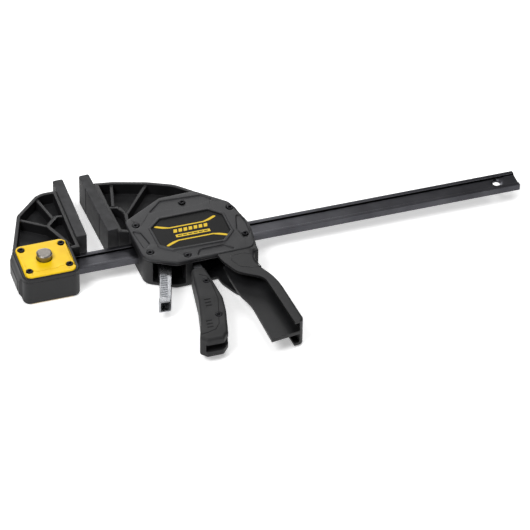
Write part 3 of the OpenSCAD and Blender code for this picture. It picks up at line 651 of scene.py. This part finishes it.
def makeBadgeMarks(s):
    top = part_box("top_badge")[1].z / mm
    flare = s["flare"]
    upper = drawBand("badge_stripe_upper", at(s["upper"]["x"], s["upper"]["y"], top), s["upper"]["long"],
                     s["stripeWide"], flare, s["thick"])
    lower = drawBand("badge_stripe_lower", at(s["lower"]["x"], s["lower"]["y"], top), s["lower"]["long"],
                     s["stripeWide"], [(x, -y, k) for x, y, k in flare], s["thick"])
    strip = drawBand("badge_mark_strip", at(s["strip"]["x"], s["strip"]["y"], top), s["strip"]["long"],
                     s["strip"]["wide"], [], s["thick"])
    bars = drawBand("badge_mark_bars", at(*s["barsAt"], top), s["barWide"], s["barHigh"], [], s["thick"])
    upperEdge = barLine + (s["barsAt"][1] + s["barHigh"] / 2 - s["reach"]) * mm
    pickIn(bars, "FACE", lambda f: all(v.co.y > upperEdge for v in f.verts))
    bpy.ops.transform.translate(value=(s["barSlant"] * mm, 0, 0))
    for i in range(s["bars"] - 1):
        bpy.ops.mesh.select_linked()
        bpy.ops.mesh.duplicate_move(TRANSFORM_OT_translate={
            "value": (s["barPitch"] * mm, s["barLift"] * mm, 0)})
    bpy.ops.object.mode_set(mode="OBJECT")
    firstNotch = at(s["strip"]["x"] - (s["notches"] - 1) / 2 * s["notchPitch"], s["strip"]["y"],
                    top + s["thick"] - s["notchSink"])
    notch = drawBand("badge_mark_notches", firstNotch, s["notchLong"], s["notchWide"], s["notchEnd"],
                     s["notchThick"])
    pickIn(notch, "FACE", lambda f: True)
    for i in range(s["notches"] - 1):
        bpy.ops.mesh.duplicate_move(TRANSFORM_OT_translate={"value": (s["notchPitch"] * mm, 0, 0)})
    bpy.ops.object.mode_set(mode="OBJECT")
    for piece, ink in ((upper, "ink"), (lower, "ink"), (strip, "ink"), (bars, "ink"), (notch, "badge")):
        twin = mirrorBelow(piece, piece.name + "_below")
        for each in (piece, twin):
            smoothPiece(each)
            placePiece(each, "moving_jaw", ink, slotOf["top_badge"])


makeBadgeMarks(badgeSet)
print("badge done")

# Trigger: hard core and soft skin in one rounded shape, with finger grooves, and a near-black cord along the
# seam line as painted shade
triggerSet = dict(radius=2.7, steps=5, edge=0.3, screwInset=3.2, screwRoom=3.8, seam=0.32, seamSink=0.12,
                  grooves=[(81.6, -93.5), (74.4, -122)], groovesEach=3, grooveSides=12, grooveRadius=0.8,
                  grooveLong=5.6, groovePitch=4.3, grooveShift=-0.6, grooveReach=4.6, grooveRun=(-11, 1),
                  seamLine=[(84.5, -58), (90.5, -62), (92, -72), (91.2, -95), (86.5, -112), (82, -128),
                            (77, -134.5), (69, -136.8), (62.5, -137.6)])


def makeTrigger(s):
    low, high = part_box("trigger_grip")
    hard = copyOf("trigger_grip", "trigger_moulding")
    soft = copyOf("trigger_skin", "trigger_soft")
    applyModifier(hard, "BOOLEAN", operation="UNION", object=soft, solver="EXACT")
    pickOnly(soft)
    bpy.ops.object.delete()
    for x, y in s["grooves"]:
        for i in range(s["groovesEach"]):
            for z in (low.z, high.z):
                bpy.ops.object.select_all(action="DESELECT")
                bpy.ops.mesh.primitive_cylinder_add(
                    vertices=s["grooveSides"], radius=s["grooveRadius"] * mm, depth=s["grooveLong"] * mm,
                    rotation=(0, math.pi / 2, 0),
                    location=at(x + i * s["grooveShift"], y - i * s["groovePitch"], z / mm))
                cutter = bpy.context.active_object
                bpy.ops.object.transform_apply()
                applyModifier(hard, "BOOLEAN", operation="DIFFERENCE", object=cutter, solver="EXACT")
                pickOnly(cutter)
                bpy.ops.object.delete()
    tidyFaces(hard)

    # the screws' places, from the two ends of their box
    inset = Vector((1, 1, 0)) * s["screwInset"] * mm
    screwLow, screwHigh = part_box("trigger_screws")
    screws = [screwHigh - inset, screwLow + inset]

    def onRim(e):
        normal = sideNormal(e)
        flat = nearHeight(e, high.z) or nearHeight(e, low.z)
        hole = any((middleOf(e).xy - screw.xy).length < s["screwRoom"] * mm for screw in screws)
        off = [(middleOf(e) - at(x, y)) / mm for x, y in s["grooves"]]
        groove = any(abs(d.x) < s["grooveReach"] and s["grooveRun"][0] < d.y < s["grooveRun"][1] for d in off)
        return flat and normal is not None and not hole and not groove

    roundOff(hard, onRim, s["radius"], s["steps"])
    easeEdges(hard, s["edge"])
    smoothPiece(hard)
    placePiece(hard, "trigger", "grip", "grip_rubber", "trigger_grip", "trigger_skin")
    # painted shade: a near-black cord, half sunk along the seam line, stands for the shade in its groove
    seam = layCord("trigger_seam_shade_cord", [at(x, y, high.z / mm - s["seamSink"]) for x, y in s["seamLine"]],
                   s["seam"])
    smoothPiece(seam)
    twin = mirrorBelow(seam, "trigger_seam_shade_cord_below")
    placePiece(seam, "trigger", "seam", "grip_rubber")
    placePiece(twin, "trigger", "seam", "grip_rubber")


makeTrigger(triggerSet)
print("trigger done")

# Release lever: chromed channel with slanted serrations on its faces
leverSet = dict(edge=0.6, steps=3, ribs=13, ribLong=5.4, ribWide=1.1, ribHigh=0.5, ribSink=0.05,
                first=(55.2, -43), pitch=(-0.66, -2.4), slant=-2.6, reach=0.1)


def makeLever(s):
    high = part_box("release_lever")[1]
    piece = copyOf("release_lever", "release_lever_cast")
    easeEdges(piece, s["edge"], s["steps"])
    smoothPiece(piece)
    placePiece(piece, "release", "chrome", "chrome_steel", "release_lever")
    ribs = drawBand("release_lever_serrations", at(*s["first"], high.z / mm - s["ribSink"]), s["ribLong"],
                    s["ribWide"], [], s["ribHigh"])
    rightEnd = (s["first"][0] + s["ribLong"] / 2 - s["reach"]) * mm
    pickIn(ribs, "FACE", lambda f: all(v.co.x > rightEnd for v in f.verts))
    bpy.ops.transform.translate(value=(0, s["slant"] * mm, 0))
    for i in range(s["ribs"] - 1):
        bpy.ops.mesh.select_linked()
        bpy.ops.mesh.duplicate_move(TRANSFORM_OT_translate={
            "value": (s["pitch"][0] * mm, s["pitch"][1] * mm, 0)})
    bpy.ops.object.mode_set(mode="OBJECT")
    twin = mirrorBelow(ribs, "release_lever_serrations_below")
    for each in (ribs, twin):
        smoothPiece(each)
        placePiece(each, "release", "zinc", "chrome_steel")


makeLever(leverSet)
print("lever done")

# Camera, soft lights and a plain floor
camSet = dict(lens=237.7, place=(-0.63094, -2.44970, 2.08259), azimuth=-18.49, elevation=40.21, roll=1.16)
lightSet = dict(key=dict(place=(-0.9, -0.5, 1.5), size=0.9, watts=22),
                top=dict(place=(0.5, 0.1, 1.7), size=1.2, watts=13),
                back=dict(place=(0.25, 1.9, 0.7), size=0.9, watts=16),
                sheen=dict(place=(0.5, 1.2, 1.07), size=0.25, watts=0.9))
lightsAim = Vector((0.1, 0, 0))
worldStrength = 0.14
floorSet = dict(size=12, gap=0.1, glow=0.4, cloud=2.5, dark="#fafafa", light="#ffffff")


def addCamera(s):
    a, e, r = (math.radians(s[k]) for k in ("azimuth", "elevation", "roll"))
    back = Vector((math.sin(a) * math.cos(e), -math.cos(a) * math.cos(e), math.sin(e)))
    side = Vector((math.cos(a), math.sin(a), 0))
    up = back.cross(side)
    right = math.cos(r) * side + math.sin(r) * up
    top = math.cos(r) * up - math.sin(r) * side
    bpy.ops.object.camera_add(location=s["place"])
    cam = bpy.context.active_object
    cam.rotation_euler = Matrix((right, top, back)).transposed().to_euler()
    cam.data.lens = s["lens"]
    cam.data.sensor_width = 36
    cam.data.clip_start = 0.1
    cam.data.clip_end = 50
    scene.camera = cam


def addSoftLight(name, s):
    bpy.ops.object.light_add(type="AREA", location=s["place"])
    lamp = bpy.context.active_object
    lamp.name = name
    lamp.data.size = s["size"]
    lamp.data.energy = s["watts"]
    lamp.rotation_euler = (lightsAim - lamp.location).to_track_quat("-Z", "Y").to_euler()


# Paper sweep: matt white, lit from above, with a faint fibre cloud
def addFloor(s):
    mat, skin, place = startMaterial("paper_sweep_white", Roughness=0.9, IOR=1.45,
                                     Emission_Strength=s["glow"])
    skin["Emission Color"].default_value = toLinear(s["light"])
    cloud = addNode(mat, "TexNoise", {"Vector": place, "Scale": s["cloud"]}).outputs[0]
    addNode(mat, "Mix", {mixBy: cloud, mixDark: toLinear(s["dark"]), mixLight: toLinear(s["light"])},
            to=skin["Base Color"], data_type="RGBA")
    bpy.ops.object.select_all(action="DESELECT")
    bpy.ops.mesh.primitive_plane_add(size=s["size"], location=(0, 0, cadLow.z - s["gap"] * mm))
    floor = bpy.context.active_object
    floor.name = "floor"
    floor.data.materials.append(mat)


addCamera(camSet)
for name, settings in lightSet.items():
    addSoftLight("light_" + name, settings)
world = bpy.data.worlds.new("studio")
world.use_nodes = True
world.node_tree.nodes["Background"].inputs["Color"].default_value = (1, 1, 1, 1)
world.node_tree.nodes["Background"].inputs["Strength"].default_value = worldStrength
scene.world = world
addFloor(floorSet)
print("studio done")
